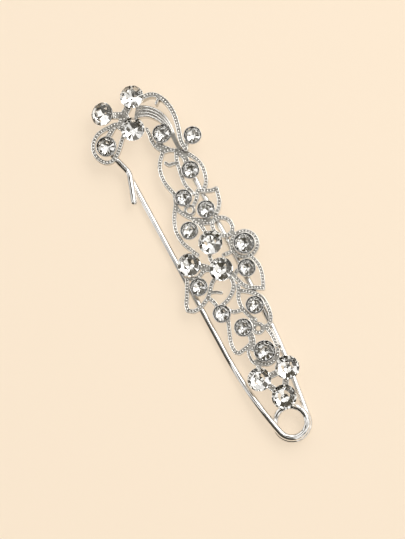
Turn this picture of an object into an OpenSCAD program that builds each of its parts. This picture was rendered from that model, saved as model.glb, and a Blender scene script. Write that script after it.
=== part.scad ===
// Safety pin brooch with a rhinestone ornament, in millimetres.
// It lies on its two wires: +Z is the stone side, +X runs from the coil to the head.
// The coil's eye is on the Z axis and the pin arm's shaft is parallel to X.

/* [Wire] */
// Radius of the round wire
wire_r = 0.65; // [0.5:0.05:0.8]
// Radius of the coil's upper turn, at the wire's centre
coil_r = 2.85; // [2.6:0.05:3.2]
// Radius of the coil's lower turn
coil_low_r = 3.15; // [3:0.05:3.5]
// Air between the coil's two turns
coil_gap = 0.1; // [0.05:0.05:0.3]
// Y of the pin arm's straight shaft
arm_y = 4.75; // [4.5:0.05:5]
// X where the shaft ends and the point starts
arm_x = 54.5; // [50:0.5:56]
// Length of the sharp point
point_len = 3.5; // [2:0.5:5]
// X of the back bar's end
bar_x = 56.2; // [54:0.2:58]

/* [Ornament] */
// Height of the openwork castings
web_h = 1; // [0.8:0.1:1.4]
// Usual width of a casting's strand
web_w = 0.8; // [0.6:0.05:1]
// Underside of the body castings
web_z = 1.33; // [1.3:0.01:1.6]
// Underside of the head casting
head_z = 2.4; // [2.2:0.1:2.8]
// Depth of a setting's seat under a casting's top
seat = 0.65; // [0.4:0.05:0.8]
// Clearance round a setting
set_gap = 0.02; // [0.01:0.01:0.05]

/* [Catch] */
// Radius of the catch's rod
rod_r = 0.65; // [0.5:0.05:0.8]

/* [Hidden] */
$fn = 48;

low_z = wire_r;
top_z = 3 * wire_r + coil_gap;
rise = top_z - low_z;

// Pin arm: it leaves the coil 12 degrees off the shaft and bends through a long arc
arm_a = 12;
arm_t = 8.5;
arm_bend = arm_t / tan(arm_a / 2);
leave = [coil_r * cos(90 + arm_a), coil_r * sin(90 + arm_a)];
corner_x = leave.x + (arm_y - leave.y) / tan(arm_a);
shaft_x = corner_x + arm_t;
slope_x = corner_x - arm_t * cos(arm_a);
dive_x0 = 1.5;
dive_x1 = 16;

// Back bar: two straights and a long arc
bar_a1 = 8;
bar_a2 = 1;
bar_c = [15.8, -5.4];
bar_t = 6;
bar_bend = bar_t / tan((bar_a1 - bar_a2) / 2);
bar_p1 = bar_c - bar_t * [cos(bar_a1), -sin(bar_a1)];
bar_p2 = bar_c + bar_t * [cos(bar_a2), -sin(bar_a2)];
bar_o = bar_p1 + bar_bend * [sin(bar_a1), cos(bar_a1)];

// Coil's climbing turn: half a circle in a plane tilted about X
climb_y = (coil_low_r - coil_r) / 2;
climb_half = (coil_low_r + coil_r) / 2;
climb_a = atan(rise / 2 / climb_half);
climb_r = climb_half / cos(climb_a);

// Catch: two straights from its bend, one to the head and one past the pin arm
hook_c = [56.2, 4.45];
hook_a1 = 15;
hook_a2 = 161;
hook_in = 5.2;
hook_out = 5.7;
hook_bend = 2.5;
hook_mid = (hook_a1 + hook_a2) / 2;

// Stones: x, y, underside of the setting, radius, tilt, tilt heading, kind
// kind 0 is a large stone over a plain cup, kind 1 a small stone in a rimmed bezel
seat_z = web_z + web_h - seat;
head_seat = head_z + web_h - seat;
over_z = 2.4;
pocket_over = 0.6;
H1 = [68.3, -2.8, head_seat, 2.24, 6, -30, 0];
H2 = [68.0, 3.1, head_seat, 2.24, 22, 62, 0];
H3 = [62.8, -0.1, head_seat, 2.24, 0, 0, 0];
H4 = [62.4, 5.7, head_seat, 1.72, 8, 100, 1];
H5 = [59.7, -4.5, seat_z, 1.58, 0, 0, 1];
H6 = [56.6, -9.5, seat_z, 1.5, 0, 0, 1];
S1 = [50.9, -6.0, seat_z, 1.5, 0, 0, 1];
S2 = [46.8, -2.3, seat_z, 1.42, 0, 0, 1];
S3 = [42.8, -5.0, seat_z, 1.5, 0, 0, 1];
S4 = [40.7, -0.3, seat_z, 1.5, 0, 0, 1];
M1 = [36.7, -2.7, seat_z, 2.26, 0, 0, 0];
M2 = [34.9, 2.8, seat_z, 2.2, 0, 0, 0];
M3 = [31.3, -2.1, seat_z, 2.25, 0, 0, 0];
M4 = [33.6, -8.2, seat_z, 1.8, 0, 0, 1];
M5 = [29.3, -6.4, seat_z, 1.5, 0, 0, 1];
M6 = [30.4, 3.2, seat_z, 1.5, 0, 0, 1];
S5 = [23.9, 1.8, seat_z, 1.48, 0, 0, 1];
S6 = [22.4, -4.4, seat_z, 1.5, 0, 0, 1];
S7 = [19.7, -0.5, seat_z, 1.5, 0, 0, 1];
S8 = [13.9, -1.9, seat_z, 1.8, 0, 0, 1];
T1 = [9.7, 1.5, seat_z, 2.2, 0, 0, 0];
T2 = [9.2, -4.1, seat_z, 2.25, 0, 0, 0];
T3 = [4.6, -1.0, over_z, 2.3, 0, 0, 0];

// ---- helpers ----

// One point of a smooth curve that passes through its control points
function blend_pt(a, b, c, d, t) = 0.5 * (2 * b + (c - a) * t
    + (2 * a - 5 * b + 4 * c - d) * t * t + (3 * b - a - 3 * c + d) * t * t * t);

function smooth(p, n = 4) = let (m = len(p) - 1) [
    for (i = [0 : m - 1])
        for (k = [0 : n - 1])
            blend_pt(p[max(i - 1, 0)], p[i], p[i + 1], p[min(i + 2, m)], k / n),
    p[m]];

function unit2(v) = v / norm(v);

// The curve moved sideways by w: to its left, or to its right when w is negative
function beside(c, w) = let (m = len(c) - 1) [
    for (i = [0 : m])
        let (t = unit2(c[min(i + 1, m)] - c[max(i - 1, 0)])) c[i] + w * [-t.y, t.x]];

function backwards(c) = [for (i = [len(c) - 1 : -1 : 0]) c[i]];

// Half a circle of outline points, turning from the left side of heading a to its right
function round_end(at, a, r) = [for (k = [1 : 4]) at + r * [cos(a + 90 - 36 * k), sin(a + 90 - 36 * k)]];

function heading(a, b) = atan2(b.y - a.y, b.x - a.x);

// A flat strand of one width with round ends
module strand(p, w = web_w) {
    c = smooth(p);
    m = len(c) - 1;
    polygon(concat(
        beside(c, w / 2), round_end(c[m], heading(c[m - 1], c[m]), w / 2),
        backwards(beside(c, -w / 2)), round_end(c[0], heading(c[1], c[0]), w / 2)));
}

// A closed loop of one width, its points listed clockwise
module loop(p, h, w = web_w) {
    n = len(p);
    c = [for (i = [0 : n - 1]) for (k = [0 : 3])
        blend_pt(p[(i + n - 1) % n], p[i], p[(i + 1) % n], p[(i + 2) % n], k / 4)];
    m = len(c);
    side = [for (i = [0 : m - 1])
        let (t = unit2(c[(i + 1) % m] - c[(i + m - 1) % m])) w / 2 * [-t.y, t.x]];
    difference() {
        linear_extrude(height = h)
            polygon(c + side);
        translate([0, 0, -1])
            linear_extrude(height = h + 2)
                polygon(c - side);
    }
}

// A ring about [x, y], of radius r at its middle
module ring(x, y, r, w, h) {
    translate([x, y, 0])
        difference() {
            cylinder(h = h, r = r + w / 2);
            translate([0, 0, -1])
                cylinder(h = h + 2, r = r - w / 2);
        }
}

// Points along an arc, a circle of radius r about o turned through climb about X
function arc_pts(o, r, from, to, n, climb = 0) = [for (k = [0 : n]) let (
    a = from + (to - from) * k / n) o + r * [cos(a), sin(a) * cos(climb), -sin(a) * sin(climb)]];

// Direction of a path at its point i
function along(p, i) = let (m = len(p) - 1, v = p[min(i + 1, m)] - p[max(i - 1, 0)]) v / norm(v);

// Round wire through a list of points, n-sided, blunted over its last radius at a free end
module tube(p, r, n = 20) {
    m = len(p) - 1;
    pts = [for (i = [0 : m]) let (
            f = along(p, i),
            s = cross([0, 0, 1], f) / norm(cross([0, 0, 1], f)),
            u = cross(f, s))
        for (k = [0 : n - 1]) p[i] + r[i] * (cos(360 * k / n) * s + sin(360 * k / n) * u)];
    sides = [for (i = [0 : m - 1]) for (k = [0 : n - 1])
        [i * n + k, (i + 1) * n + k, (i + 1) * n + (k + 1) % n, i * n + (k + 1) % n]];
    polyhedron(pts, concat(sides,
        [[for (k = [0 : n - 1]) k]],
        [[for (k = [n - 1 : -1 : 0]) m * n + k]]));
}

// A straight run's last points, rounding off to a blunt end in direction f
function nose_pts(at, f, r) = [for (k = [0 : 4]) at + r * sin(20 * k) * f];
function nose_r(r) = [for (k = [0 : 4]) r * cos(20 * k)];
function same(p, r) = [for (q = p) r];

// Height of a setting from its underside to the stone's girdle
function girdle(s) = 0.3 + 0.62 * s[3];

module place(s) {
    translate([s[0], s[1], s[2]])
        rotate(a = s[4], v = [-sin(s[5]), cos(s[5]), 0])
            children();
}

// Round-cut stone: pavilion, girdle, crown and table
module stone(s) {
    r = s[3];
    g = girdle(s);
    color([0.86, 0.88, 0.9])
        place(s)
            rotate_extrude()
                polygon([[0, 0.3], [0.25 * r, 0.3], [r, g], [r, g + 0.1],
                    [0.58 * r, g + 0.1 + 0.34 * r], [0, g + 0.1 + 0.34 * r]]);
}

// Outside of a setting; its pocket is grown by e and cut on above it by over
module cup_outside(s, e = 0, over = 0) {
    r = s[3];
    g = girdle(s);
    lip = s[6] == 1 ? r + 0.26 : r - 0.12;
    top = (s[6] == 1 ? g + 0.14 : g - 0.3) + over;
    place(s)
        translate([0, 0, -e])
            rotate_extrude()
                polygon([[0, 0], [0.66 * r + e, 0], [lip + e, 0.62 * g],
                    [lip + e, top], [0, top]]);
}

// Hollow setting that holds one stone
module cup(s) {
    r = s[3];
    g = girdle(s);
    rim = s[6] == 1;
    color([0.78, 0.79, 0.8])
        difference() {
            cup_outside(s);
            place(s)
                rotate_extrude()
                    polygon([[0, 0.3], [0.25 * r + 0.1, 0.3], [r + 0.05, g - 0.04],
                        [r + 0.05, g + 1], [0, g + 1]]);
        }
}

// Openwork casting: flat strands given a height, rings and one loop, with pockets
// for the settings
module casting(z, h, stones, rings = [], closed = []) {
    color([0.8, 0.81, 0.82])
        difference() {
            translate([0, 0, z]) {
                linear_extrude(height = h)
                    children();
                for (q = rings)
                    ring(q[0], q[1], q[2], q[3], h);
                if (len(closed) > 0)
                    loop(closed, h);
            }
            for (s = stones)
                cup_outside(s, set_gap, pocket_over);
        }
}

// ---- wires and catch ----

module back_bar() {
    f = [cos(bar_a2), -sin(bar_a2), 0];
    body = concat(
        arc_pts([0, climb_y, (low_z + top_z) / 2], climb_r, 0, 84, 14, climb_a),
        arc_pts([0, 0, low_z], coil_low_r, 90, 270 - bar_a1, 28),
        arc_pts([bar_o.x, bar_o.y, low_z], bar_bend, 270 - bar_a1, 270 - bar_a2, 8));
    color([0.75, 0.76, 0.78])
        tube(concat(body, nose_pts([bar_p2.x, bar_p2.y, low_z] + (bar_x - bar_p2.x) * f, f,
            wire_r)), concat(same(body, wire_r), nose_r(wire_r)));
}

function dive(x) = let (t = min(max((x - dive_x0) / (dive_x1 - dive_x0), 0), 1))
    low_z + rise * (0.5 + 0.5 * cos(180 * t));

function arm_at(x) = [x, x < slope_x
    ? leave.y + (x - leave.x) * tan(arm_a)
    : arm_y - arm_bend + sqrt(arm_bend * arm_bend - pow(shaft_x - x, 2)), dive(x)];

module pin_arm() {
    m = 24;
    run = [for (i = [1 : m]) arm_at(leave.x + (shaft_x - leave.x) * i / m)];
    body = concat(
        arc_pts([0, climb_y, (low_z + top_z) / 2], climb_r, -26, -84, 10, climb_a),
        arc_pts([0, 0, top_z], coil_r, 270, 90 + arm_a, 28),
        run, [[arm_x, arm_y, low_z]]);
    color([0.75, 0.76, 0.78])
        tube(concat(body, [[arm_x + point_len, arm_y, low_z]]),
            concat(same(body, wire_r), [0.08]), 24);
}

module catch_hook() {
    f1 = [cos(hook_a1), sin(hook_a1), 0];
    f2 = [cos(hook_a2), sin(hook_a2), 0];
    c = [hook_c.x, hook_c.y, 2 * wire_r + 0.06 + rod_r];
    bend = arc_pts(c + hook_bend / cos((hook_a2 - hook_a1 - 180) / 2)
        * [cos(hook_mid), sin(hook_mid), 0], hook_bend, hook_a1 + 270, hook_a2 + 90, 6);
    color([0.75, 0.76, 0.78])
        tube(concat(backwards(nose_pts(c + hook_in * f1, f1, rod_r)), bend,
            nose_pts(c + hook_out * f2, f2, rod_r)),
            concat(backwards(nose_r(rod_r)), same(bend, rod_r), nose_r(rod_r)));
}

// ---- castings ----

module head_frame() {
    casting(head_z, web_h, [H1, H2, H3, H4], [],
        [[62.2, 2.7], [60.4, 4.5], [59.5, 6.3], [60.2, 7.8], [62.2, 8.5], [64.1, 7.9],
            [65.4, 6.2], [65.6, 4.0], [65.3, 2.0], [63.6, 1.3]]) {
        strand([[64.6, 1.7], [66.3, 0.1], [67.4, -1.5]], 1.4);
        strand([[66.3, 0.1], [67.4, 2.2]], 1.3);
        strand([[66.3, 0.1], [63.6, -0.1]], 1.4);
        strand([[65.4, 2.5], [64.7, 3.6], [63.9, 4.9]], 1);
    }
}

module crook_strand() {
    casting(web_z, head_z + web_h - web_z, [H1]) {
        strand([[67.6, -4.3], [67.5, -5.8], [66.7, -7.1], [65.0, -8.0], [63.0, -8.35],
            [61.0, -8.2], [59.0, -7.75], [57.3, -7.2], [56.0, -7.0], [54.8, -7.1]], 0.95);
        strand([[66.2, -7.4], [65.3, -6.3]], 0.5);
    }
}

module crook_ribbon() {
    upper = smooth([[67.0, -2.9], [66.1, -4.3], [64.9, -5.6], [63.2, -6.6], [61.1, -7.0],
        [59.2, -6.85], [57.7, -6.6], [55.4, -6.4]]);
    lower = smooth([[64.7, -1.2], [64.3, -2.9], [63.6, -4.0], [62.2, -5.0], [60.9, -5.5],
        [59.5, -5.8], [58.1, -5.75], [55.4, -5.7]]);
    casting(web_z, head_z + web_h - web_z - 0.35, [H1, H3, H5])
        polygon(concat(upper, backwards(lower)));
    ridge = head_z + web_h - 0.37;
    for (k = [0.12, 0.38, 0.64, 0.9])
        casting(ridge, 0.22, [H1, H3, H5])
            strand([for (i = [2 : 4 : len(upper) - 5]) upper[i] + k * (lower[i] - upper[i])],
                0.26);
}

module upper_vine() {
    casting(web_z, web_h, [H5, H6, S1, S2]) {
        strand([[62.0, -2.4], [60.9, -2.4], [59.6, -2.2], [58.2, -2.4], [56.7, -3.2],
            [56.4, -4.1], [55.9, -5.0], [54.6, -6.3]]);
        strand([[56.7, -3.2], [55.9, -2.3], [54.6, -1.3], [52.9, -0.7], [50.8, -0.6],
            [48.2, -1.2]]);
        strand([[55.3, -5.3], [54.2, -4.7], [52.6, -4.3], [50.5, -3.9], [48.7, -3.8],
            [46.8, -4.3]]);
        strand([[54.5, -2.5], [53.8, -2.9], [53.7, -3.6], [53.3, -4.4]], 0.7);
        strand([[55.6, -5.6], [54.3, -6.9], [53.1, -7.6], [51.9, -8.1], [50.6, -8.3],
            [48.9, -8.0], [47.4, -7.4], [46.4, -6.3]]);
        strand([[56.3, -8.3], [55.6, -7.5], [54.6, -6.7]]);
        strand([[59.6, -3.6], [58.6, -3.2], [57.4, -3.6], [56.5, -4.3]], 0.9);
        strand([[55.2, -5.8], [53.8, -6.2], [52.6, -6.1]], 1.2);
    }
}

module right_leaf() {
    casting(web_z, web_h, [S1, S3]) {
        strand([[46.8, -5.3], [46.2, -6.4], [45.6, -7.6], [45.5, -8.6]]);
        strand([[45.5, -8.6], [44.2, -8.3], [43.0, -7.9], [41.9, -7.1], [40.9, -5.8]]);
        strand([[46.8, -5.3], [45.4, -4.2], [44.8, -3.4]]);
    }
}

module middle_vine() {
    casting(web_z, web_h, [S2, S3, S4, M1], [[44.2, -2.2, 0.85, 0.6]]) {
        strand([[48.0, -1.0], [46.6, -0.5], [45.2, 0.5], [43.8, 1.3], [41.9, 1.95],
            [39.6, 1.9], [37.8, 1.3], [36.0, 0.5]]);
        strand([[46.0, -0.3], [44.9, -0.5], [43.5, -1.2], [42.2, -2.1], [40.6, -2.7],
            [38.6, -2.8]]);
        strand([[42.0, -2.2], [41.0, -3.5], [40.4, -4.8]], 1.3);
    }
}

module scroll_ring() {
    casting(web_z, web_h, [M1, M3, M4, S3], [[M4[0], M4[1], 2.45, 0.75]],
        [[40.0, -4.8], [40.4, -6.0], [39.9, -7.1], [38.9, -7.8], [37.6, -7.8],
            [36.7, -7.1], [36.6, -6.0], [37.3, -5.0], [38.6, -4.4]]) {
        strand([[36.7, -7.0], [35.9, -8.0], [35.9, -9.0]]);
        strand([[33.6, -5.9], [33.5, -4.9], [33.6, -3.8]]);
    }
}

module side_leaf() {
    casting(web_z, web_h, [M3, M4, M5]) {
        strand([[31.3, -8.0], [29.6, -8.55], [27.9, -8.6], [26.2, -8.1], [24.5, -7.3]]);
        strand([[24.5, -7.3], [25.3, -6.1], [26.1, -4.9], [27.2, -4.2], [29.2, -3.6],
            [30.3, -3.2]]);
        strand([[29.8, -4.6], [29.3, -3.7]]);
    }
}

module left_leaf() {
    casting(web_z, web_h, [M1, M2, M3, M6, S5]) {
        strand([[32.9, 4.4], [31.4, 5.2], [30.0, 6.0], [28.7, 6.8], [27.6, 7.1]]);
        strand([[27.6, 7.1], [26.9, 6.1], [27.0, 4.6], [27.7, 3.0], [28.6, 1.9],
            [30.0, 0.6], [31.0, -1.4]]);
        strand([[27.9, 2.7], [26.8, 2.1], [25.3, 1.9]]);
        strand([[28.6, 1.9], [28.1, 0.8], [27.5, 0.0]], 0.6);
        strand([[34.6, 1.9], [33.2, 0.4], [31.6, -1.2]], 1.3);
        strand([[32.6, 3.7], [32.2, 2.5], [32.7, 1.0], [32.4, -0.1]], 0.8);
        strand([[35.9, -2.0], [33.9, -1.2], [31.8, -1.7]]);
        strand([[31.0, -2.0], [30.0, -2.7], [28.3, -2.9], [27.2, -2.4], [26.2, -1.3], [25.6, 0.0],
            [25.3, 1.3]]);
    }
}

module lower_vine() {
    casting(web_z, web_h, [S5, S6, S7, S8], [[18.3, -2.9, 0.85, 0.75]]) {
        strand([[27.2, -3.4], [26.2, -3.0], [25.2, -2.4], [24.2, -2.1], [22.8, -2.1],
            [21.0, -2.6], [20.0, -3.2]]);
        strand([[26.2, -3.2], [25.5, -4.2], [24.4, -5.4], [23.2, -6.2], [21.8, -6.4],
            [20.3, -6.3], [19.0, -5.9], [18.0, -5.0], [18.0, -3.6]]);
        strand([[24.3, 0.6], [23.2, -0.4], [22.8, -2.0]]);
        strand([[18.0, -4.2], [16.4, -4.5], [15.0, -4.5], [13.9, -4.35]]);
        strand([[20.3, -2.6], [19.3, -2.2]], 0.9);
    }
}

module tail_frame() {
    casting(web_z, web_h, [S5, S7, S8, T1, T2, T3]) {
        strand([[23.4, 0.9], [21.9, 1.5], [20.2, 2.2], [18.4, 2.85], [16.6, 3.0],
            [15.9, 2.4]]);
        strand([[15.9, 2.4], [16.1, 1.2], [16.4, -0.1]]);
        strand([[19.0, -0.9], [17.5, -1.0], [16.4, -0.6], [15.5, -0.3]], 1.3);
        strand([[16.4, 0.2], [15.4, 0.8], [14.4, 1.05], [13.3, 1.0], [12.4, 0.5]], 0.65);
        strand([for (k = [0 : 14]) [S8[0], S8[1]] + 2.4 * [cos(110 + 10 * k), sin(110 + 10 * k)]]);
        strand([[12.6, 0.2], [9.8, 1.4]], 1);
        strand([[12.2, -3.3], [9.3, -4.0]], 1);
        strand([[9.6, 1.3], [9.2, -3.9]], 1.2);
        strand([[9.5, 1.1], [5.5, -0.6]], 1.2);
        strand([[9.0, -3.9], [5.5, -1.5]], 1.2);
    }
}

// ---- stones and settings ----

module stone_head_top() {
    stone(H1);
}

module stone_head_left() {
    stone(H2);
}

module stone_head_inner() {
    stone(H3);
}

module stone_loop() {
    stone(H4);
}

module stone_crook() {
    stone(H5);
}

module stone_stem() {
    stone(H6);
}

module stone_upper_right() {
    stone(S1);
}

module stone_upper_left() {
    stone(S2);
}

module stone_middle_right() {
    stone(S3);
}

module stone_middle_left() {
    stone(S4);
}

module stone_cluster_top() {
    stone(M1);
}

module stone_cluster_left() {
    stone(M2);
}

module stone_cluster_right() {
    stone(M3);
}

module stone_scroll() {
    stone(M4);
}

module stone_side_leaf() {
    stone(M5);
}

module stone_left_leaf() {
    stone(M6);
}

module stone_lower_left() {
    stone(S5);
}

module stone_lower_right() {
    stone(S6);
}

module stone_lower_mid() {
    stone(S7);
}

module stone_tail_ring() {
    stone(S8);
}

module stone_tail_left() {
    stone(T1);
}

module stone_tail_right() {
    stone(T2);
}

module stone_tail_end() {
    stone(T3);
}

module cup_head_top() {
    cup(H1);
}

module cup_head_left() {
    cup(H2);
}

module cup_head_inner() {
    cup(H3);
}

module cup_loop() {
    cup(H4);
}

module cup_crook() {
    cup(H5);
}

module cup_stem() {
    cup(H6);
}

module cup_upper_right() {
    cup(S1);
}

module cup_upper_left() {
    cup(S2);
}

module cup_middle_right() {
    cup(S3);
}

module cup_middle_left() {
    cup(S4);
}

module cup_cluster_top() {
    cup(M1);
}

module cup_cluster_left() {
    cup(M2);
}

module cup_cluster_right() {
    cup(M3);
}

module cup_scroll() {
    cup(M4);
}

module cup_side_leaf() {
    cup(M5);
}

module cup_left_leaf() {
    cup(M6);
}

module cup_lower_left() {
    cup(S5);
}

module cup_lower_right() {
    cup(S6);
}

module cup_lower_mid() {
    cup(S7);
}

module cup_tail_ring() {
    cup(S8);
}

module cup_tail_left() {
    cup(T1);
}

module cup_tail_right() {
    cup(T2);
}

module cup_tail_end() {
    cup(T3);
}

back_bar();
pin_arm();
catch_hook();
head_frame();
crook_strand();
crook_ribbon();
upper_vine();
right_leaf();
middle_vine();
scroll_ring();
side_leaf();
left_leaf();
lower_vine();
tail_frame();
stone_head_top();
stone_head_left();
stone_head_inner();
stone_loop();
stone_crook();
stone_stem();
stone_upper_right();
stone_upper_left();
stone_middle_right();
stone_middle_left();
stone_cluster_top();
stone_cluster_left();
stone_cluster_right();
stone_scroll();
stone_side_leaf();
stone_left_leaf();
stone_lower_left();
stone_lower_right();
stone_lower_mid();
stone_tail_ring();
stone_tail_left();
stone_tail_right();
stone_tail_end();
cup_head_top();
cup_head_left();
cup_head_inner();
cup_loop();
cup_crook();
cup_stem();
cup_upper_right();
cup_upper_left();
cup_middle_right();
cup_middle_left();
cup_cluster_top();
cup_cluster_left();
cup_cluster_right();
cup_scroll();
cup_side_leaf();
cup_left_leaf();
cup_lower_left();
cup_lower_right();
cup_lower_mid();
cup_tail_ring();
cup_tail_left();
cup_tail_right();
cup_tail_end();
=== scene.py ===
import math
import random

import bmesh
import bpy
from mathutils import Matrix, Vector, kdtree


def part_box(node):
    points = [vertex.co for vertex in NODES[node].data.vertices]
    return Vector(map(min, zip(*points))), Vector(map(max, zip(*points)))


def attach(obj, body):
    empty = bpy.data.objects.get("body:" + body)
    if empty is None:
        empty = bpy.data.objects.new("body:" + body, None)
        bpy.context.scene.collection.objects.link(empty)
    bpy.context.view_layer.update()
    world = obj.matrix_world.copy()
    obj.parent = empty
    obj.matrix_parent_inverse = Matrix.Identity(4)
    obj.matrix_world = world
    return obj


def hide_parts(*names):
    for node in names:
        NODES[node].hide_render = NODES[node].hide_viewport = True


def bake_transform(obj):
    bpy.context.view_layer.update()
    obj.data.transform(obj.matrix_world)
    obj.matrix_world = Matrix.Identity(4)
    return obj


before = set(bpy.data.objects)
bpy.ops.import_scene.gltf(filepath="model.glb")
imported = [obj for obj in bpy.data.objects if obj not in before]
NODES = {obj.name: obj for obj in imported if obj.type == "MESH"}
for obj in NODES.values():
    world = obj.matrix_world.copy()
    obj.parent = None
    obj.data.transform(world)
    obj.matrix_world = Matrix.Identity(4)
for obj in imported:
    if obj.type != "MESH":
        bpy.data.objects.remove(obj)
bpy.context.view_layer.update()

MM = 0.001
CASTINGS = ["head_frame", "crook_strand", "crook_ribbon", "upper_vine", "right_leaf",
            "middle_vine", "scroll_ring", "side_leaf", "left_leaf", "lower_vine", "tail_frame"]
STONES = sorted(n for n in NODES if n.startswith("stone_"))
WELD = 2e-6                             # vertices closer than this are one, in metres
PIT_DEPTH = 0.00002                     # depth of the bump in plated metal, in metres
RECESS_SHADE_TINT = (0.10, 0.092, 0.075)      # painted shade: the colour that plated metal darkens to in its recesses


# ---------------------------------------------------------------- materials

def new_material(name):
    """A new node material, its tree and its main shader."""
    mat = bpy.data.materials.new(name)
    mat.use_nodes = True
    nt = mat.node_tree
    bsdf = next(n for n in nt.nodes if n.type == "BSDF_PRINCIPLED")
    return mat, nt, bsdf


def noise(nt, scale, detail, rough=0.55):
    """Noise that is fixed to the object."""
    coord = nt.nodes.new("ShaderNodeTexCoord")
    tex = nt.nodes.new("ShaderNodeTexNoise")
    tex.inputs["Scale"].default_value = scale
    tex.inputs["Detail"].default_value = detail
    tex.inputs["Roughness"].default_value = rough
    nt.links.new(coord.outputs["Object"], tex.inputs["Vector"])
    return tex


def ramp(nt, source, low, high, c0, c1):
    """Colours from c0 at low to c1 at high."""
    r = nt.nodes.new("ShaderNodeValToRGB")
    r.color_ramp.elements[0].position = low
    r.color_ramp.elements[1].position = high
    r.color_ramp.elements[0].color = (*c0, 1)
    r.color_ramp.elements[1].color = (*c1, 1)
    nt.links.new(source, r.inputs["Fac"])
    return r


def grey(v):
    return (v, v, v)


def multiply(nt, first, second):
    """The colours of two nodes, multiplied."""
    mix = nt.nodes.new("ShaderNodeMixRGB")
    mix.blend_type = "MULTIPLY"
    mix.inputs["Fac"].default_value = 1.0
    nt.links.new(first.outputs["Color"], mix.inputs["Color1"])
    nt.links.new(second.outputs["Color"], mix.inputs["Color2"])
    return mix


def metal(name, bright, dark, rough, bump, shade_distance=0.0):
    """Plated white metal: uneven polish, faint pits, and, where asked, painted shade that darkens its
    recesses.
    """
    mat, nt, bsdf = new_material(name)
    bsdf.inputs["Metallic"].default_value = 1.0
    tone = noise(nt, 420.0, 4.0)
    colour = ramp(nt, tone.outputs["Fac"], 0.3, 0.72, dark, bright)
    if shade_distance:
        # painted shade: ambient occlusion darkens the colour in recesses and between parts, where shade falls
        ao = nt.nodes.new("ShaderNodeAmbientOcclusion")
        ao.inputs["Distance"].default_value = shade_distance
        ao.samples = 8
        shade = ramp(nt, ao.outputs["AO"], 0.35, 0.92, RECESS_SHADE_TINT, (1, 1, 1))
        colour = multiply(nt, colour, shade)
    nt.links.new(colour.outputs["Color"], bsdf.inputs["Base Color"])
    polish = noise(nt, 900.0, 5.0)
    level = ramp(nt, polish.outputs["Fac"], 0.3, 0.75, grey(rough * 0.7), grey(rough * 1.5))
    nt.links.new(level.outputs["Color"], bsdf.inputs["Roughness"])
    pits = noise(nt, 2600.0, 6.0, 0.65)
    b = nt.nodes.new("ShaderNodeBump")
    b.inputs["Strength"].default_value = bump
    b.inputs["Distance"].default_value = PIT_DEPTH
    nt.links.new(pits.outputs["Fac"], b.inputs["Height"])
    nt.links.new(b.outputs["Normal"], bsdf.inputs["Normal"])
    return mat


WIRE = metal("wire_metal", (0.90, 0.89, 0.88), (0.80, 0.79, 0.77), 0.07, 0.10)
# CAST and BEAD are lit and shaded copies of one plated metal: the plate is painted darker as shade between
# the beads, the beads and rims lighter; the plate's recesses also get painted shade
CAST = metal("cast_metal", (0.70, 0.68, 0.64), (0.51, 0.49, 0.455), 0.26, 0.35, shade_distance=0.0004)
BEAD = metal("bead_metal", (0.97, 0.96, 0.94), (0.84, 0.83, 0.80), 0.20, 0.12)
RIB = metal("ribbon_metal", (0.80, 0.78, 0.75), (0.62, 0.60, 0.56), 0.22, 0.25)
# the setting's recesses get painted shade
CUP = metal("setting_metal", (0.86, 0.85, 0.83), (0.70, 0.69, 0.67), 0.10, 0.12, shade_distance=0.0003)
FOIL = metal("foil_backing", (0.95, 0.95, 0.94), (0.88, 0.88, 0.86), 0.012, 0.01)


def glass_material():
    """Clear glass with faint wear in its polish."""
    mat, nt, bsdf = new_material("clear_stone")
    bsdf.inputs["Base Color"].default_value = (0.99, 0.985, 0.975, 1)
    bsdf.inputs["Transmission Weight"].default_value = 1.0
    bsdf.inputs["IOR"].default_value = 1.56
    wear = noise(nt, 700.0, 5.0, 0.7)
    level = ramp(nt, wear.outputs["Fac"], 0.55, 0.85, grey(0.0), grey(0.02))
    nt.links.new(level.outputs["Color"], bsdf.inputs["Roughness"])
    return mat


GLASS = glass_material()


# ---------------------------------------------------------------- mesh helpers

def mesh_object(name, verts, faces, mat, smooth=True):
    """A mesh in metres, with its faces turned outwards."""
    me = bpy.data.meshes.new(name)
    me.from_pydata([tuple(v) for v in verts], [], faces)
    me.validate()
    ob = bpy.data.objects.new(name, me)
    bpy.context.scene.collection.objects.link(ob)
    bm = bmesh.new()
    bm.from_mesh(me)
    bmesh.ops.recalc_face_normals(bm, faces=bm.faces)
    bm.to_mesh(me)
    bm.free()
    for p in me.polygons:
        p.use_smooth = smooth
    me.materials.append(mat)
    return ob


def tube(points, radii, n=24):
    """Vertices and faces of a closed tube through points; the wire is near level, so +Z frames it."""
    verts, faces = [], []
    m = len(points)
    for i, p in enumerate(points):
        f = (points[min(i + 1, m - 1)] - points[max(i - 1, 0)]).normalized()
        s = Vector((0, 0, 1)).cross(f).normalized()
        u = f.cross(s)
        for k in range(n):
            a = 2 * math.pi * k / n
            verts.append(p + radii[i] * (math.cos(a) * s + math.sin(a) * u))
    for i in range(m - 1):
        for k in range(n):
            faces.append((i * n + k, (i + 1) * n + k, (i + 1) * n + (k + 1) % n, i * n + (k + 1) % n))
    faces.append(tuple(range(n)))
    faces.append(tuple((m - 1) * n + k for k in reversed(range(n))))
    return verts, faces


def arc(cx, cy, cz, r, a0, a1, n, climb=0.0):
    """Points of an arc from a0 to a1 degrees, its plane tipped about X by climb, in radians."""
    out = []
    for k in range(n + 1):
        a = math.radians(a0 + (a1 - a0) * k / n)
        out.append(Vector((cx + r * math.cos(a), cy + r * math.sin(a) * math.cos(climb),
                           cz - r * math.sin(a) * math.sin(climb))) * MM)
    return out


# ---------------------------------------------------------------- wire

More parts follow.
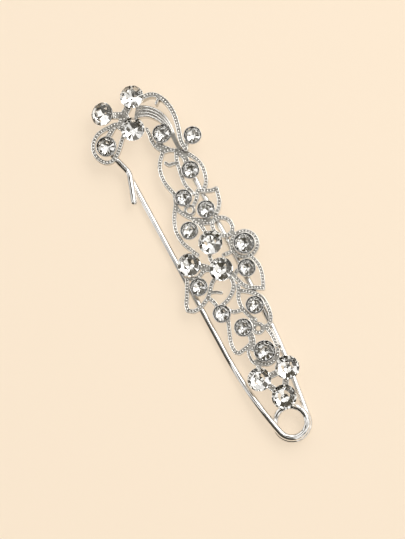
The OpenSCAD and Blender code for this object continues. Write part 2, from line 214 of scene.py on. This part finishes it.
# The wire's sizes are those of the CAD solids, in millimetres and degrees.
HOOK_LOW, HOOK_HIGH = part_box("catch_hook")
WIRE_R = (HOOK_HIGH[2] - HOOK_LOW[2]) / 2 / MM
LOWER_Z = WIRE_R                # height of the bar and of the coil's lower turn
UPPER_Z = 3 * WIRE_R + 0.1      # height of the coil's upper turn
UPPER_R = 2.85                  # radius of the upper turn's centre line
LOWER_R = 3.15                  # radius of the lower turn's centre line
BAR_FALL = (8, 1)               # slopes of the bar next to the coil and past its bend
BAR_CORNER = Vector((15.8, -5.4))
BAR_BEND = 6                    # length of the bar's bend on either side of its corner
ARM_RISE = 12                   # slope of the arm where it leaves the coil
ARM_BEND = 8.5                  # length of the arm's bend on either side of its corner
ARM_DROP = (1.5, 14.5)          # where the arm starts to come down, and over what length
POINT = 3.5                     # length of the sharp point
ARC_STEPS = 48                  # steps in each turn of the coil


def falling(a):
    """Unit vector that falls from +X by an angle in radians."""
    return Vector((math.cos(a), -math.sin(a)))


def bar_line():
    """Rounded end of the bar as points and radii, and the bar's centre line to the coil."""
    near, far = math.radians(BAR_FALL[0]), math.radians(BAR_FALL[1])
    bend = BAR_BEND / math.tan((near - far) / 2)
    p1 = BAR_CORNER - BAR_BEND * falling(near)
    p2 = BAR_CORNER + BAR_BEND * falling(far)
    centre = p1 + bend * Vector((math.sin(near), math.cos(near)))
    f = Vector((math.cos(far), -math.sin(far), 0))
    length = (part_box("back_bar")[1][0] / MM - WIRE_R - p2.x) / math.cos(far)
    start = Vector((p2.x, p2.y, LOWER_Z))
    end = start + length * f
    pts, rad = [], []
    for k in range(6, -1, -1):
        t = math.radians(15 * k)
        pts.append((end + WIRE_R * math.sin(t) * f) * MM)
        rad.append(max(WIRE_R * math.cos(t), 0.02) * MM)
    line = [(start + length * q * f) * MM for q in (0.9, 0.75, 0.5, 0.25)]
    line += arc(centre.x, centre.y, LOWER_Z, bend, 270 - BAR_FALL[1], 270 - BAR_FALL[0], 12)
    a = math.radians(270 - BAR_FALL[0])
    coil = Vector((LOWER_R * math.cos(a), LOWER_R * math.sin(a), LOWER_Z))
    line += [Vector((p1.x, p1.y, LOWER_Z)).lerp(coil, q) * MM for q in (0.25, 0.5, 0.75)]
    return pts, rad, line


def coil_line():
    """The coil's lower turn, the half turn that climbs, and the upper turn."""
    half = (LOWER_R + UPPER_R) / 2
    climb = math.atan((UPPER_Z - LOWER_Z) / 2 / half)
    line = arc(0, 0, LOWER_Z, LOWER_R, 270 - BAR_FALL[0], 90, ARC_STEPS)
    line += arc(0, (LOWER_R - UPPER_R) / 2, (LOWER_Z + UPPER_Z) / 2, half / math.cos(climb),
                86, -86, ARC_STEPS, climb)
    line += arc(0, 0, UPPER_Z, UPPER_R, 270, 90 + ARM_RISE, ARC_STEPS)
    return line


def arm_line():
    """The arm's centre line from the coil to its point, and the point as points and radii."""
    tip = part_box("pin_arm")[1][0] / MM
    arm_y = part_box("pin_arm")[1][1] / MM - WIRE_R
    a, leave = math.radians(ARM_RISE), math.radians(90 + ARM_RISE)
    lx, ly = UPPER_R * math.cos(leave), UPPER_R * math.sin(leave)
    corner = lx + (arm_y - ly) / math.tan(a)
    bend = ARM_BEND / math.tan(a / 2)
    shaft_x, slope_x = corner + ARM_BEND, corner - ARM_BEND * math.cos(a)
    line, n = [], 60
    for i in range(1, n + 1):
        x = lx + (shaft_x - lx) * i / n
        if x < slope_x:
            y = ly + (x - lx) * math.tan(a)
        else:
            y = arm_y - bend + math.sqrt(bend * bend - (shaft_x - x) ** 2)
        t = min(max((x - ARM_DROP[0]) / ARM_DROP[1], 0), 1)
        z = LOWER_Z + (UPPER_Z - LOWER_Z) * (0.5 + 0.5 * math.cos(math.pi * t))
        line.append(Vector((x, y, z)) * MM)
    for q in (0.2, 0.4, 0.6, 0.8, 1.0):
        line.append(Vector((shaft_x + (tip - POINT - shaft_x) * q, arm_y, LOWER_Z)) * MM)
    pts, rad = [], []
    for q in (0.15, 0.35, 0.6, 0.8, 0.93, 1.0):
        pts.append(Vector((tip - POINT + POINT * q, arm_y, LOWER_Z)) * MM)
        rad.append((0.03 + (WIRE_R - 0.03) * (1 - q ** 1.6)) * MM)
    return line, pts, rad


def build_wire():
    """One continuous wire: bar, coil and pin arm."""
    end_pts, end_rad, bar = bar_line()
    arm, tip_pts, tip_rad = arm_line()
    line = bar + coil_line() + arm
    radii = end_rad + [WIRE_R * MM] * len(line) + tip_rad
    ob = mesh_object("pin_wire", *tube(end_pts + line + tip_pts, radii, 28), WIRE)
    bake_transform(ob)
    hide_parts("back_bar", "pin_arm")


build_wire()


# ---------------------------------------------------------------- stones and settings

SEAT = 0.3          # height of the culet over the bottom of the setting, in millimetres
SMALL_R = 2.0       # a stone of a smaller radius has a rimmed bezel, in millimetres
FOIL_INNER = (0.012, 0.288)     # the foil's near face: growth past the stone, height of its culet
FOIL_OUTER = (0.035, 0.262)     # the same for its far face
TABLE = 0.52        # radius of the table, as a share of the stone's radius
CULET = 0.08        # radius of the flat culet, as a share of the stone's radius
GIRDLE = 0.08       # height of the zigzag girdle, in millimetres
GROOVE = 0.08       # open groove between a small stone and its bezel, in millimetres
FLAT = math.cos(math.pi / 8)    # apothem of an eight-sided ring, as a share of its radius


def stone_frame(node):
    """Where a CAD stone stands: its place, radius and heights, from its own solid."""
    me = NODES[node].data
    areas = {}
    for p in me.polygons:
        key = tuple(round(c, 2) for c in p.normal)
        areas.setdefault(key, [0.0, Vector((0, 0, 0)), p.normal.copy()])
        areas[key][0] += p.area
        areas[key][1] += p.area * Vector(p.center)
    table = max((v for v in areas.values() if v[2].z > 0.5), key=lambda v: v[0])
    axis = table[2].normalized()
    centre = table[1] / table[0]
    heights = [(Vector(v.co) - centre).dot(axis) for v in me.vertices]
    radii = [((Vector(v.co) - centre) - h * axis).length for v, h in zip(me.vertices, heights)]
    big = max(radii)
    girdle = [h for h, q in zip(heights, radii) if q > big * 0.995]
    bottom = min(heights)
    base = centre + (bottom - SEAT * MM) * axis
    return {"axis": axis, "base": base, "r": big / MM, "g0": (min(girdle) - bottom) / MM + SEAT,
            "g1": (max(girdle) - bottom) / MM + SEAT, "top": -bottom / MM + SEAT}


def place_matrix(s, turn):
    """Moves a shape from its own axis to the stone's place, turned about that axis."""
    z = s["axis"]
    x = Vector((1, 0, 0)) - z.x * z
    x.normalize()
    y = z.cross(x)
    m = Matrix((x, y, z)).transposed().to_4x4()
    m.translation = s["base"]
    return m @ Matrix.Rotation(turn, 4, "Z")


def polar(r, deg, z):
    """A point in metres, from a radius and height in millimetres and an angle in degrees."""
    a = math.radians(deg)
    return Vector((r * math.cos(a), r * math.sin(a), z)) * MM


def slope_out(r, inner, z_in, z_corner):
    """Height of a flat facet where its middle meets radius r, from its inner edge and its corners."""
    rise = (z_corner - z_in) / (FLAT * r - FLAT * inner)
    return z_corner + (1 - FLAT) * r * rise


def pavilion(r, g0, grow, floor):
    """Culet ring and zigzag girdle of the stone's underside, eight flat facets in all."""
    k = r + grow
    corner = g0 - GIRDLE
    middle = slope_out(k, CULET * r, floor, corner)
    cul = [polar(CULET * r, 22.5 + 45 * i, floor) for i in range(8)]
    gir = [polar(k, 22.5 * i, corner if i % 2 else middle) for i in range(16)]
    return cul, gir


def pavilion_faces(c, g):
    """Faces between a culet ring that starts at vertex c and a girdle ring that starts at g."""
    faces = [tuple(c + i for i in range(8))]
    for i in range(8):
        j = (i + 1) % 8
        faces.append((c + i, g + 2 * i + 1, g + (2 * i + 2) % 16, g + (2 * i + 3) % 16, c + j))
    return faces


def cut_stone(name, s, turn):
    """Table, eight crown facets and eight pavilion facets set half a step round from them."""
    r, g0, g1, top = s["r"], s["g0"], s["g1"], s["top"]
    corner = g1 + 0.03
    middle = slope_out(r, TABLE * r, top, corner)
    verts = [polar(TABLE * r, 45 * i, top) for i in range(8)]
    verts += [polar(r, 22.5 * i, middle if i % 2 else corner) for i in range(16)]
    faces = [tuple(range(8))]
    for i in range(8):
        faces.append((i, 8 + 2 * i, 8 + 2 * i + 1, 8 + (2 * i + 2) % 16, (i + 1) % 8))
    cul, gir = pavilion(r, g0, 0.0, SEAT)
    base = len(verts)
    verts += cul + gir
    faces += pavilion_faces(base, base + 8)
    for i in range(16):
        faces.append((8 + i, 8 + (i + 1) % 16, base + 8 + (i + 1) % 16, base + 8 + i))
    ob = mesh_object(name, verts, faces, GLASS, smooth=False)
    ob.data.transform(place_matrix(s, turn))
    return ob


def foil(name, s, turn):
    """Thin mirror shell behind the stone, with the same facets."""
    r, g0 = s["r"], s["g0"]
    a = pavilion(r, g0 - 0.02, *FOIL_INNER)
    b = pavilion(r, g0 - 0.02, *FOIL_OUTER)
    verts = a[0] + a[1] + b[0] + b[1]
    faces = pavilion_faces(0, 8) + [tuple(reversed(f)) for f in pavilion_faces(24, 32)]
    for i in range(16):
        faces.append((8 + i, 8 + (i + 1) % 16, 32 + (i + 1) % 16, 32 + i))
    ob = mesh_object(name, verts, faces, FOIL, smooth=False)
    ob.data.transform(place_matrix(s, turn))
    return ob


def lathe(name, profile, mat, s, n=64):
    """A closed profile of (radius, height) pairs turned about the setting's axis."""
    verts, faces = [], []
    m = len(profile)
    for i in range(n):
        for q, z in profile:
            verts.append(polar(q, 360 * i / n, z))
    for i in range(n):
        for k in range(m - 1):
            a, b = i * m + k, ((i + 1) % n) * m + k
            faces.append((a, b, b + 1, a + 1))
    for k in (0, m - 1):
        verts.append(Vector((0, 0, profile[k][1])) * MM)
        c = len(verts) - 1
        for i in range(n):
            faces.append((i * m + k, ((i + 1) % n) * m + k, c))
    ob = mesh_object(name, verts, faces, mat)
    ob.data.transform(place_matrix(s, 0.0))
    return ob


def setting(name, s, rimmed):
    """A bezel with a rounded rim, or a plain cup that stays under its stone, in millimetres."""
    r, g0, g1 = s["r"], s["g0"], s["g1"]
    if rimmed:
        o = r + 0.25
        t = g1 + 0.04
        profile = [(0.05, 0.0), (0.60 * r, 0.0), (0.66 * r, 0.04), (o - 0.02, 0.62 * g0),
                   (o, 0.66 * g0), (o, t - 0.10), (o - 0.02, t - 0.03), (o - 0.07, t),
                   (o - 0.12, t - 0.02), (o - 0.15, t - 0.08), (r + 0.06, g0 - 0.10),
                   (0.72 * r, 0.55 * g0), (0.3 * r, 0.21), (0.05, 0.21)]
    else:
        o = r - 0.13
        t = g0 - 0.30
        profile = [(0.05, 0.0), (0.60 * r, 0.0), (0.66 * r, 0.04), (o - 0.03, 0.60 * g0),
                   (o, 0.64 * g0), (o, t - 0.06), (o - 0.04, t), (o - 0.12, t),
                   (o - 0.2, t - 0.06), (0.66 * r, 0.42 * g0), (0.3 * r, 0.21), (0.05, 0.21)]
    return lathe(name, profile, CUP, s)


def build_stones():
    """A cut stone, its foil and its setting at the place of every CAD stone."""
    rng = random.Random(7)
    for node in STONES:
        s = stone_frame(node)
        turn = rng.uniform(0, math.pi / 4)
        label = node[len("stone_"):]
        rimmed = s["r"] < SMALL_R
        cup = setting("bezel_" + label, s, rimmed)
        if rimmed:
            s["r"] -= GROOVE
        gem = cut_stone("gem_" + label, s, turn)
        back = foil("foil_" + label, s, turn)
        for ob in (gem, back, cup):
            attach(ob, "frame")
        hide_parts(node)
        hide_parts("cup_" + label)


build_stones()


# ---------------------------------------------------------------- castings

BEAD_R = 0.21                   # radius of a bead, in millimetres like the sizes below
BEAD_GAP = 0.55                 # distance between beads
BEAD_ROWS = (0.4, 0.95, 1.5)    # distances of the rows of beads from a strand's edge
RIM_R = 0.085                   # radius of the raised rim
RIM_INSET = 0.09                # its distance from the edge
RIM_STEP = 0.16                 # distance between its rings
RIM_LEAST = 20                  # an outline with fewer rings has no rim


def carried_over(node, mat):
    """A CAD node that stays, with its material and its seams welded."""
    ob = NODES[node]
    ob.data.materials.clear()
    ob.data.materials.append(mat)
    ob.modifiers.new("weld", "WELD").merge_threshold = WELD
    return ob


def outline_loops(me, z_top):
    """Closed outlines of the faces that lie flat at height z_top, as 2-D points, metal on the left."""
    bm = bmesh.new()
    bm.from_mesh(me)
    bmesh.ops.remove_doubles(bm, verts=bm.verts, dist=WELD)
    tops = [f for f in bm.faces if f.normal.z > 0.99 and abs(f.calc_center_median().z - z_top) < 2e-5]
    flat = set(tops)
    nxt = {}
    for f in tops:
        for lp in f.loops:
            others = [g for g in lp.edge.link_faces if g is not f]
            if not any(g in flat for g in others):
                nxt.setdefault(lp.vert.index, []).append(lp.link_loop_next.vert.index)
    co = {v.index: Vector((v.co.x, v.co.y)) for v in bm.verts}
    bm.free()
    loops = []
    while nxt:
        start = next(iter(nxt))
        at, pts = start, []
        while at in nxt:
            pts.append(co[at])
            to = nxt[at].pop()
            if not nxt[at]:
                del nxt[at]
            at = to
        if len(pts) > 3:
            loops.append(pts)
    return loops


def resample(pts, step):
    """Evenly spaced points along a closed outline, each with the outline's direction there."""
    total = sum((pts[(i + 1) % len(pts)] - pts[i]).length for i in range(len(pts)))
    n = max(int(round(total / step)), 3)
    gap, out, travelled, need = total / n, [], 0.0, 0.0
    for i in range(len(pts)):
        a, b = pts[i], pts[(i + 1) % len(pts)]
        seg = (b - a).length
        while seg > 1e-12 and need <= travelled + seg and len(out) < n:
            out.append((a.lerp(b, (need - travelled) / seg), (b - a).normalized()))
            need += gap
        travelled += seg
    return out


def inside(q, loops):
    """True where a point lies on the flat top that the outlines enclose."""
    hits = 0
    for lp in loops:
        for a, b in zip(lp, lp[1:] + lp[:1]):
            if (a.y > q.y) != (b.y > q.y) and q.x < a.x + (q.y - a.y) * (b.x - a.x) / (b.y - a.y):
                hits += 1
    return hits % 2 == 1


def edge_tree(loops):
    """Search tree of points close together along the outlines."""
    edge = [p for lp in loops for p, _ in resample(lp, 0.08 * MM)]
    tree = kdtree.KDTree(len(edge))
    for i, p in enumerate(edge):
        tree.insert((p.x, p.y, 0), i)
    tree.balance()
    return tree


def bead_row(loops, tree, top, inset, gap, placed):
    """Adds beads at one distance from the outlines of a casting's flat top."""
    for lp in loops:
        for p, t in resample(lp, gap * 0.25):
            q = p + inset * Vector((-t.y, t.x))
            spot = Vector((q.x, q.y, top))
            if tree.find((q.x, q.y, 0))[2] < inset * 0.86:
                continue
            if all((spot - o).length >= gap * 0.93 for o in placed) and inside(q, loops):
                placed.append(spot)


def ball(radius, rings=5, n=10):
    """Vertices and faces of one bead."""
    verts = [Vector((0, 0, radius))]
    for i in range(1, rings):
        a = math.pi * i / rings
        for k in range(n):
            b = 2 * math.pi * k / n
            verts.append(radius * Vector((math.sin(a) * math.cos(b), math.sin(a) * math.sin(b), math.cos(a))))
    verts.append(Vector((0, 0, -radius)))
    faces = [(0, 1 + k, 1 + (k + 1) % n) for k in range(n)]
    for i in range(rings - 2):
        for k in range(n):
            a, b = 1 + i * n + k, 1 + i * n + (k + 1) % n
            faces.append((a, a + n, b + n, b))
    last = len(verts) - 1
    faces += [(last, last - n + (k + 1) % n, last - n + k) for k in range(n)]
    return verts, faces


def beads(name, places, radius, flat=0.8):
    """One piece that holds all the beads of a casting, each a slightly flattened ball."""
    bv, bf = ball(radius)
    verts, faces = [], []
    for p in places:
        base = len(verts)
        verts += [p + Vector((v.x, v.y, v.z * flat)) for v in bv]
        faces += [tuple(base + i for i in f) for f in bf]
    ob = mesh_object(name, verts, faces, BEAD)
    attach(ob, "frame")


def rims(name, loops, z_top):
    """A fine raised wire along every edge of a casting's flat top, except round the smallest gaps."""
    inset, r, n = RIM_INSET * MM, RIM_R * MM, 6
    verts, faces = [], []
    for lp in loops:
        run = resample(lp, RIM_STEP * MM)
        m = len(run)
        if m < RIM_LEAST:
            continue
        base = len(verts)
        for p, t in run:
            side = Vector((-t.y, t.x))
            q = p + inset * side
            for k in range(n):
                a = 2 * math.pi * k / n
                verts.append(Vector((q.x + r * math.cos(a) * side.x, q.y + r * math.cos(a) * side.y,
                                     z_top + r * math.sin(a))))
        for i in range(m):
            here, there = base + i * n, base + (i + 1) % m * n
            for k in range(n):
                k2 = (k + 1) % n
                faces.append((here + k, there + k, there + k2, here + k2))
    ob = mesh_object(name, verts, faces, BEAD)
    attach(ob, "frame")


def dress(node):
    """A carried-over casting: welded, its edges rounded, and beads laid along its strands."""
    ob = carried_over(node, CAST)
    bev = ob.modifiers.new("soft_edges", "BEVEL")
    bev.width = 0.08 * MM
    bev.segments = 3
    bev.limit_method = "ANGLE"
    bev.angle_limit = math.radians(50)
    bev.use_clamp_overlap = True
    bev.harden_normals = False
    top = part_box(node)[1][2]
    loops = outline_loops(ob.data, top)
    tree = edge_tree(loops)
    placed = []
    for inset in BEAD_ROWS:
        bead_row(loops, tree, top, inset * MM, BEAD_GAP * MM, placed)
    beads("milgrain_" + node, placed, BEAD_R * MM)
    rims("rim_" + node, loops, top)


def build_castings():
    """Every casting, of which the ribbed band has its rims only."""
    for node in CASTINGS:
        if node != "crook_ribbon":
            dress(node)
    ribbon = carried_over("crook_ribbon", RIB)
    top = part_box("crook_ribbon")[1][2]
    rims("rim_crook_ribbon", outline_loops(ribbon.data, top), top)


def build_catch():
    """The catch keeps its CAD shape, smoothed."""
    hook = carried_over("catch_hook", WIRE)
    smooth = hook.modifiers.new("round", "SUBSURF")
    smooth.levels = smooth.render_levels = 2


build_castings()
build_catch()


# ---------------------------------------------------------------- floor, light, camera

FLOOR_HALF = 3.0                        # half the floor's side, in metres
FLOOR_DROP = 0.00002                    # keeps the floor clear of the solids that lie on it
MID = Vector((0.0335, 0.001, 0.0))      # point that the camera and the lights aim at
TILT = math.radians(10)                 # lean of the view towards the coil
ACROSS, ALONG = 0.478, 0.878            # how far the picture's right runs against X and Y
DISTANCE = 0.360                        # from the camera to MID, in metres
SENSOR = 24.0                           # height of the sensor, in millimetres
IMAGE_HEIGHT = 539                      # rows in the picture
ROWS_PER_MM = 5.3                       # rows that one millimetre takes at MID

EX = Vector((math.cos(TILT), 0, math.sin(TILT)))
EY = Vector((0, 1, 0))
BACK = Vector((-math.sin(TILT), 0, math.cos(TILT)))
RIGHT = (-ACROSS * EX - ALONG * EY).normalized()
UP = (ALONG * EX - ACROSS * EY).normalized()

DARK = (0.07, 0.062, 0.045)             # dark patches of the studio
BRIGHT = (1.0, 0.985, 0.96)             # its brightest patches
PATCHES = ((0.425, DARK), (0.435, (0.68, 0.67, 0.65)), (0.52, (0.74, 0.73, 0.71)))
CARD = (0.05, 0.045, 0.035)             # dark card that the wires reflect as a streak
GLOSSY_BOUNCES = 12                     # fewer leave the rims of the stones black


def build_floor():
    """A plain pale floor that gives off a little light, so that the shadows stay soft."""
    q = FLOOR_HALF
    me = bpy.data.meshes.new("floor")
    me.from_pydata([(-q, -q, 0), (q, -q, 0), (q, q, 0), (-q, q, 0)], [], [(0, 1, 2, 3)])
    ob = bpy.data.objects.new("floor", me)
    bpy.context.scene.collection.objects.link(ob)
    mat, nt, bsdf = new_material("pale_floor")
    bsdf.inputs["Base Color"].default_value = (0.28, 0.233, 0.179, 1)
    bsdf.inputs["Roughness"].default_value = 0.8
    bsdf.inputs["Emission Color"].default_value = (0.98, 0.825, 0.645, 1)
    bsdf.inputs["Emission Strength"].default_value = 0.695
    me.materials.append(mat)
    ob.location.z = -FLOOR_DROP


def area(name, at, size, power, colour):
    """A square studio light that aims at MID."""
    light = bpy.data.lights.new(name, "AREA")
    light.energy = power
    light.color = colour
    light.size = size
    ob = bpy.data.objects.new(name, light)
    bpy.context.scene.collection.objects.link(ob)
    ob.location = at
    ob.rotation_euler = (MID - at).to_track_quat("-Z", "Y").to_euler()


def build_camera():
    """The camera looks down on the brooch, with its head towards the top of the picture."""
    cam = bpy.data.cameras.new("camera")
    cam.sensor_fit = "VERTICAL"
    cam.sensor_height = SENSOR
    cam.lens = ROWS_PER_MM * (DISTANCE / MM) * SENSOR / IMAGE_HEIGHT
    cam.clip_start = 0.01
    ob = bpy.data.objects.new("camera", cam)
    bpy.context.scene.collection.objects.link(ob)
    m = Matrix((RIGHT, UP, BACK)).transposed().to_4x4()
    m.translation = MID + DISTANCE * BACK
    ob.matrix_world = m
    bpy.context.scene.camera = ob


def build_light():
    """A key light to the upper right and a weaker fill beyond the top of the picture."""
    flat_right = Vector((RIGHT.x, RIGHT.y, 0)).normalized()
    flat_up = Vector((UP.x, UP.y, 0)).normalized()
    key = MID + 0.25 * flat_right + 0.22 * flat_up + Vector((0, 0, 0.42))
    area("key", key, 0.30, 1.0, (1.0, 0.98, 0.95))
    fill = MID + 0.42 * flat_up + 0.05 * flat_right + Vector((0, 0, 0.32))
    area("fill", fill, 0.2, 0.3, (1.0, 0.97, 0.93))


def build_world():
    """Soft bright and dark patches all round, and one dark card, for the metal to reflect."""
    world = bpy.data.worlds.new("studio")
    bpy.context.scene.world = world
    world.use_nodes = True
    nt = world.node_tree
    bg = next(n for n in nt.nodes if n.type == "BACKGROUND")
    coord = nt.nodes.new("ShaderNodeTexCoord")
    tex = nt.nodes.new("ShaderNodeTexNoise")
    tex.inputs["Scale"].default_value = 4.6
    tex.inputs["Detail"].default_value = 0.0
    nt.links.new(coord.outputs["Generated"], tex.inputs["Vector"])
    patches = ramp(nt, tex.outputs["Fac"], 0.40, 0.55, DARK, BRIGHT)
    for at, colour in PATCHES:
        patches.color_ramp.elements.new(at).color = (*colour, 1)
    split = nt.nodes.new("ShaderNodeSeparateXYZ")
    nt.links.new(coord.outputs["Generated"], split.inputs["Vector"])
    card_x = ramp(nt, split.outputs["X"], 0.17, 0.20, grey(1.0), grey(0.0))
    card_y = ramp(nt, split.outputs["Y"], 0.22, 0.26, grey(0.0), grey(1.0))
    card = multiply(nt, card_x, card_y)
    mix = nt.nodes.new("ShaderNodeMixRGB")
    mix.inputs["Color2"].default_value = (*CARD, 1)
    nt.links.new(card.outputs["Color"], mix.inputs["Fac"])
    nt.links.new(patches.outputs["Color"], mix.inputs["Color1"])
    nt.links.new(mix.outputs["Color"], bg.inputs["Color"])
    bg.inputs["Strength"].default_value = 1.25
    bpy.context.scene.view_settings.view_transform = "Standard"
    bpy.context.scene.cycles.glossy_bounces = GLOSSY_BOUNCES


build_floor()
build_camera()
build_light()
build_world()
